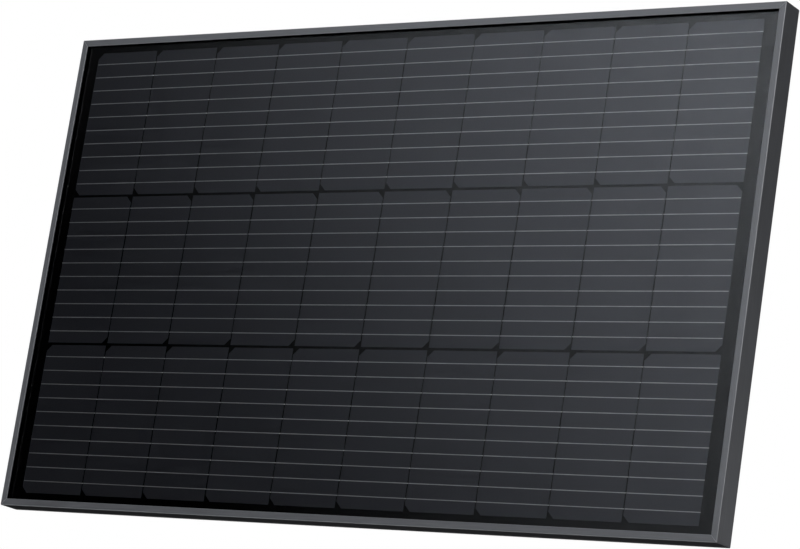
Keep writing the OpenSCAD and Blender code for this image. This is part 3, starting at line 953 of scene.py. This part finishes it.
def spout(x):
    """The threaded tube that a gland screws onto."""
    thread = [(BOX_FOOT - THREAD_START - i * THREAD_PITCH / 2, THREAD_ROOT if i % 2 else THREAD_CREST)
              for i in range(2 * THREAD_TURNS)]
    return down_rod("spout", x, [
        (BOX_FOOT + OVERLAP, SPOUT_R), (BOX_FOOT - OVERLAP, SPOUT_R), *thread,
        (box_low.z, SPOUT_R - 0.6 * MM)])


def ear(x):
    """One of the base's two eyes for the hinge pin."""
    return along_x("ear", [
        (hinge_y - KNUCKLE_R, BOX_HEAD - OVERLAP), (hinge_y, BOX_HEAD - OVERLAP),
        *arc((hinge_y, hinge_z), KNUCKLE_R, -90, 180, 24)], x, KNUCKLE_L)


def catch(x):
    """The ledge that holds a tongue of the lid."""
    start, edge, end = (lid_y - depth for depth in CATCH_DEPTHS)
    return along_x("catch", [
        (start, BOX_FOOT + OVERLAP), (start, BOX_FOOT - CATCH_H),
        (edge, BOX_FOOT - CATCH_H), (end, BOX_FOOT + OVERLAP)], x, CATCH_W)


def pin_hole(x, clearance):
    """A cutter for the hinge pin."""
    return along_x("pin_hole", circle((hinge_y, hinge_z), PIN_R + clearance), x,
                   KNUCKLE_L + 2 * OVERLAP, HOLE_EDGE)


def build_box_base():
    base = box_loft("base", (base_y, 0.5 * MM), (base_y + 0.5 * MM, 0),
                    (rim_y - 0.3 * MM, 0), (rim_y, 0.3 * MM))
    added = []
    for side in (-1, 1):
        added.append(spout(box_x + side * TERMINAL_GAP))
        added.append(ear(box_x + side * EAR_X))
        added.append(catch(box_x + side * TONGUE_X))
    combine(base, added, "UNION")
    groove = (BOX_WALL - GROOVE_W) / 2
    cutters = [
        box_loft("cavity", (floor_y, BOX_WALL + 0.6 * MM), (floor_y + 0.6 * MM, BOX_WALL),
                 (rim_y + OVERLAP, BOX_WALL)),
        box_frame("groove", rim_y - GROOVE_D, rim_y + OVERLAP, groove, groove + GROOVE_W),
    ]
    cutters += [lead_opening(x, base_y - OVERLAP, floor_y + OVERLAP) for x in lead_xs()]
    for side in (-1, 1):
        cutters.append(down_rod("bore", box_x + side * TERMINAL_GAP, [
            (BOX_FOOT + BOX_WALL + OVERLAP, SLEEVE_R), (box_low.z - OVERLAP, SLEEVE_R)]))
        cutters.append(pin_hole(box_x + side * EAR_X, PIN_FIT))
    cut(base, cutters)
    as_piece(base, "box_base_shell", moulded, replaces=["junction_box_base"])


def lid_plate():
    """The lid's plate with softened edges, a gap for the hinge and a recess in its face."""
    lid = box_loft("lid", (lid_y, 0.2 * MM), (lid_y + 0.2 * MM, 0), (lid_high.y - 0.9 * MM, 0),
                   (lid_high.y - 0.4 * MM, 0.15 * MM), (lid_high.y - 0.1 * MM, 0.5 * MM),
                   (lid_high.y, 0.9 * MM))
    cut(lid, [
        block("hinge_gap", (lid_low.x - OVERLAP, lid_y - OVERLAP, BOX_HEAD - HINGE_GAP),
              (lid_high.x + OVERLAP, lid_high.y + OVERLAP, BOX_HEAD + OVERLAP)),
        box_loft("recess", (lid_high.y - RECESS_D, RECESS_INSET),
                 (lid_high.y + 0.1 * MM, RECESS_INSET - 0.5 * MM)),
    ])
    return lid


def arm(x):
    """One of the lid's two arms, round where it turns on the pin."""
    meet = math.degrees(math.acos((lid_y - hinge_y) / KNUCKLE_R))
    return along_x("arm", [
        (lid_high.y, BOX_HEAD - 2 * MM), (lid_y, BOX_HEAD - 2 * MM),
        *arc((hinge_y, hinge_z), KNUCKLE_R, 360 - meet, 0, 28)], x, KNUCKLE_L)


def tongue(x):
    """One of the lid's two tongues, which snap over the catches."""
    end_y, inside = lid_high.y - TONGUE_L, TONGUE_Z + TONGUE_T
    return along_x("tongue", [
        (lid_high.y, TONGUE_Z + 5 * MM), (lid_y, TONGUE_Z + 5 * MM), (lid_y, inside), (end_y, inside),
        (end_y, TONGUE_Z + 0.5 * MM), (end_y + 0.5 * MM, TONGUE_Z),
        (lid_high.y - 0.8 * MM, TONGUE_Z), (lid_high.y, TONGUE_Z + 0.8 * MM)], x, TONGUE_W)


def sign_stroke(x, half_width, half_height):
    """One raised stroke of a plus or a minus, in the lid's recess."""
    recess_y = lid_high.y - RECESS_D
    return block("stroke", (x - half_width, recess_y - 0.3 * MM, SIGN_Z - half_height),
                 (x + half_width, recess_y + SIGN_H, SIGN_Z + half_height))


def window(x):
    """The opening in a tongue that takes its catch."""
    start, end = (lid_y - depth for depth in WINDOW_DEPTHS)
    return block("window", (x - WINDOW_HALF, start, TONGUE_Z - OVERLAP),
                 (x + WINDOW_HALF, end, TONGUE_Z + TONGUE_T + 0.5 * MM))


def build_box_lid():
    lid = lid_plate()
    added = [box_frame("rim", lid_y - LID_RIM_H, lid_y + 0.5 * MM, LID_RIM_INSET, LID_RIM_INSET + LID_RIM_T)]
    for side in (-1, 1):
        added.append(arm(box_x + side * KNUCKLE_X))
        added.append(tongue(box_x + side * TONGUE_X))
        added.append(sign_stroke(box_x + side * TERMINAL_GAP, SIGN_HALF, SIGN_STROKE))
        if side < 0:
            added.append(sign_stroke(box_x + side * TERMINAL_GAP, SIGN_STROKE, SIGN_HALF))
    combine(lid, added, "UNION")
    cutters = []
    for side in (-1, 1):
        cutters.append(pin_hole(box_x + side * KNUCKLE_X, PIN_PLAY))
        cutters.append(window(box_x + side * TONGUE_X))
    cut(lid, cutters)
    as_piece(lid, "box_lid_cover", moulded, LID, ["junction_box_lid"])


def build_hinge_pin():
    low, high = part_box("hinge_pin")
    pin = along_x("pin", circle((hinge_y, hinge_z), PIN_R), box_x, high.x - low.x, PIN_END)
    as_piece(pin, "hinge_pin_rod", drawn_steel, replaces=["hinge_pin"])


# ---------------- cable glands

HEX_FLAT = 6.495 * MM
NUT_BORE = 3.3 * MM
NUT_THREAD = 5.1 * MM
NUT_FLOOR = 2.9 * MM
FLUTES = 24
FLUTE_DEPTH = 0.2 * MM
NUT_STEPS = 6 * FLUTES


def nut_reach(radius, kind, angle):
    """Radius of a gland nut at an angle: six flats, flutes or round."""
    if kind == "hex":
        return min(radius, HEX_FLAT / math.cos((angle + math.pi / 6) % (math.pi / 3) - math.pi / 6))
    if kind == "flute":
        return radius - FLUTE_DEPTH * (1 + math.cos(FLUTES * angle))
    return radius


def nut_profile(low_z, high_z):
    """(z, radius, kind) round a nut's section: hexagon, fluted grip, nose, then the bore. The
    outside is in millimetres down from the nut's top."""
    outside = [
        (0, 6.7, "hex"), (0.3, 7.2, "hex"), (0.6, 7.5, "hex"), (4, 7.5, "hex"), (4.3, 7.1, "hex"),
        (4.5, 6.45, "round"), (4.9, 6.45, "flute"), (8.1, 6.4, "flute"), (8.5, 6.3, "round"),
        (9.4, 6.1, "round"), (10.2, 5.8, "round"),
    ]
    return [
        *((high_z - down * MM, radius * MM, kind) for down, radius, kind in outside),
        (low_z + 0.2 * MM, 5.5 * MM, "round"),
        (low_z, 5.1 * MM, "round"),
        (low_z, NUT_BORE + 0.5 * MM, "round"),
        (low_z + 0.5 * MM, NUT_BORE, "round"),
        (low_z + NUT_FLOOR, NUT_BORE, "round"),
        (low_z + NUT_FLOOR, NUT_THREAD, "round"),
        (high_z, NUT_THREAD, "round"),
    ]


def build_gland(node):
    low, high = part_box(node)
    axis_x = (low.x + high.x) / 2
    profile = nut_profile(low.z, high.z)
    vertices = []
    for step in range(NUT_STEPS):
        angle = 2 * math.pi * step / NUT_STEPS
        for z, radius, kind in profile:
            r = nut_reach(radius, kind, angle)
            vertices.append((axis_x + r * math.cos(angle), gland_y + r * math.sin(angle), z))
    faces = strip_faces(NUT_STEPS, len(profile), closed_rings=True)
    piece(f"{node}_nut", vertices, faces, moulded, "gland", replaces=[node])


# ---------------- CAD nodes that keep their shape


def dress(material, *names):
    """Gives CAD nodes a material."""
    for name in names:
        mesh = nodes[name].data
        mesh.materials.clear()
        mesh.materials.append(material)


def dress_cad_nodes():
    dress(silicon, *[f"cell_{row}_{i + 1:02d}" for row in ROWS for i in range(COLUMNS)])
    dress(black_film, "rear_encapsulant", "lead_insulation")
    dress(coated_bus(backsheet_low.y),
          "bus_link_right", "bus_link_left", "bus_lead_positive", "bus_lead_negative")
    dress(mill_aluminium, "corner_keys")
    dress(rubber, "lid_seal", "gland_seals")
    dress(foam, "junction_box_pad")
    dress(tin_plate, "terminal_plates")
    dress(epoxy, "bypass_diodes")
    dress(ruled_label(), "rating_label")


# ---------------- stage, light and camera

# The camera stands low on the right and looks up at the panel.
CAMERA_AIM = Vector((42.6, -30, -8)) * MM
CAMERA_AHEAD = Vector((-0.56877, 0.79322, 0.21749))
CAMERA_DISTANCE = 3.5589
CAMERA_LENS = 142.74
CAMERA_ROLL = 8.77
SENSOR_WIDTH = 36
FAR_CLIP = 100
SKY = 1.2
DIM = 0.01
SKY_STARTS = 0.78
SKY_FULL = 0.90
FLOOR_REACH = 14
FLOOR_DROP = 0.5 * MM
FLOOR_UNDER = 1 * MM
CARD_Y = -3.0
CARD_EDGES = (-4.2, -0.95, -0.6, 1.95)
CARD_MIDDLE = 0.2461
CARD_ACROSS = 0.1013
CARD_UP = 0.1461
CARD_TWIST = 0.019
CARD_GAIN = 23.8
CARD_LIMIT = 1.8
CARD_COLOUR = (0.885, 0.94, 1.0, 1)


def build_camera():
    ahead = CAMERA_AHEAD.normalized()
    data = bpy.data.cameras.new("camera")
    data.lens = CAMERA_LENS
    data.sensor_width = SENSOR_WIDTH
    data.clip_end = FAR_CLIP
    camera = bpy.data.objects.new("camera", data)
    bpy.context.scene.collection.objects.link(camera)
    look = ahead.to_track_quat("-Z", "Y").to_matrix().to_4x4()
    roll = Matrix.Rotation(math.radians(CAMERA_ROLL), 4, "Z")
    camera.matrix_world = Matrix.Translation(CAMERA_AIM - ahead * CAMERA_DISTANCE) @ look @ roll
    bpy.context.scene.camera = camera


def build_world():
    """White for the camera. For everything else it is dim, but for a soft sky overhead."""
    world = bpy.data.worlds.new("studio")
    world.use_nodes = True
    bpy.context.scene.world = world
    studio = NodeTree(world.node_tree, "ShaderNodeOutputWorld")
    direction = studio.add("ShaderNodeTexCoord").outputs["Generated"]
    sky = studio.add("ShaderNodeMapRange", {
        "From Min": SKY_STARTS, "From Max": SKY_FULL, "To Min": DIM, "To Max": SKY})
    soft = studio.add("ShaderNodeBackground", {"Color": (0.98, 0.99, 1, 1)})
    white = studio.add("ShaderNodeBackground", {"Color": (1, 1, 1, 1)})
    path = studio.add("ShaderNodeLightPath")
    studio.link(studio.axes(direction)["Z"], sky.inputs["Value"])
    studio.link(sky.outputs["Result"], soft.inputs["Strength"])
    studio.surface(studio.mixed(path.outputs["Is Camera Ray"], soft, white))


def build_floor():
    """A pale floor just under the panel, open beneath it and see-through from below."""
    shader = Shader("pale_floor")
    floor = shader.add("ShaderNodeBsdfPrincipled", {"Base Color": (0.8, 0.8, 0.8, 1)})
    shader.link(shader.spread(shader.grain(40), 0.75, 0.85), floor.inputs["Roughness"])
    clear = shader.add("ShaderNodeBsdfTransparent")
    side = shader.add("ShaderNodeNewGeometry").outputs["Backfacing"]
    shader.surface(shader.mixed(side, floor, clear))
    x0, x1, y0, y1 = left + FLOOR_UNDER, right - FLOOR_UNDER, front + FLOOR_UNDER, rear - FLOOR_UNDER
    hole = [(x0, y0), (x1, y0), (x1, y1), (x0, y1)]
    outer = [(a * FLOOR_REACH, b * FLOOR_REACH) for a, b in ((-1, -1), (1, -1), (1, 1), (-1, 1))]
    vertices = [(x, y, bottom - FLOOR_DROP) for x, y in hole + outer]
    faces = [(4 + i, 4 + (i + 1) % 4, (i + 1) % 4, i) for i in range(4)]
    made = plain_object("floor", vertices, faces)
    if made.data.polygons[0].normal.z < 0:
        made.data.flip_normals()
    made.data.materials.append(shader.material)


def build_gradient_card():
    """A softbox in front of the glass, brighter towards its upper right corner: at (x, z) it is
    CARD_GAIN * (CARD_MIDDLE + CARD_ACROSS * x + (CARD_UP + CARD_TWIST * x) * z) ** 2."""
    shader = Shader("graded_softbox")
    x, _, z = shader.axes(shader.add("ShaderNodeNewGeometry").outputs["Position"])
    across = shader.calculated("MULTIPLY_ADD", x, CARD_ACROSS, CARD_MIDDLE)
    up = shader.calculated("MULTIPLY_ADD", x, CARD_TWIST, CARD_UP)
    ramp = shader.calculated("MAXIMUM", shader.calculated("MULTIPLY_ADD", z, up, across), 0)
    strength = shader.calculated("MULTIPLY", shader.calculated("MULTIPLY", ramp, ramp), CARD_GAIN)
    emission = shader.add("ShaderNodeEmission", {"Color": CARD_COLOUR})
    shader.link(shader.calculated("MINIMUM", strength, CARD_LIMIT), emission.inputs["Strength"])
    shader.surface(emission)
    x0, x1, z0, z1 = CARD_EDGES
    corners = [(x0, CARD_Y, z0), (x1, CARD_Y, z0), (x1, CARD_Y, z1), (x0, CARD_Y, z1)]
    made = plain_object("graded_softbox", corners, [(0, 1, 2, 3)])
    made.data.materials.append(shader.material)
    made.visible_camera = False
    made.visible_shadow = False


def area_light(name, place, target, size, power):
    data = bpy.data.lights.new(name, "AREA")
    data.shape = "RECTANGLE"
    data.size, data.size_y = size
    data.energy = power
    made = bpy.data.objects.new(name, data)
    made.location = place
    made.rotation_euler = (Vector(target) - Vector(place)).to_track_quat("-Z", "Y").to_euler()
    made.visible_camera = False
    bpy.context.scene.collection.objects.link(made)


def build_lights():
    area_light("key", (1.6, -3.4, 2.4), target=(0, 0, 0), size=(2.4, 1.6), power=59)
    area_light("upper_left", (-3.4, -3.0, 2.9), target=(-0.3, 0, 0.1), size=(1.4, 0.8), power=6.5)
    area_light("lower_right", (-0.1, -3.2, 0.75), target=(0.4, 0, -0.2), size=(1.0, 0.8), power=9.2)
    area_light("right_strip", (3.7, -2.3, 0.8), target=(0.5, 0, 0), size=(0.5, 2.0), power=8)
    area_light("back_fill", (-2.0, 3.4, 1.6), target=(0, 0, 0), size=(2.4, 1.8), power=90)
    area_light("side_glow", (3.0, 3.3, 0.12), target=(0.45, 0, -0.3), size=(1.4, 0.7), power=2.7)
    area_light("under_fill", (0.8, -1.6, -2.0), target=(0.1, 0, -0.3), size=(1.6, 1.0), power=11)


def set_render_look():
    scene = bpy.context.scene
    scene.view_settings.view_transform = "Standard"
    scene.cycles.transparent_max_bounces = 16
    scene.cycles.max_bounces = 8
    scene.cycles.use_denoising = True


build_camera()
build_world()
build_floor()
build_gradient_card()
build_lights()
set_render_look()
build_rails()
build_glass_and_film()
for row in ROWS:
    build_ribbons(row)
    build_fingers(row)
build_sealant()
build_backsheet()
build_box_base()
build_box_lid()
build_hinge_pin()
build_gland("cable_gland_positive")
build_gland("cable_gland_negative")
dress_cad_nodes()
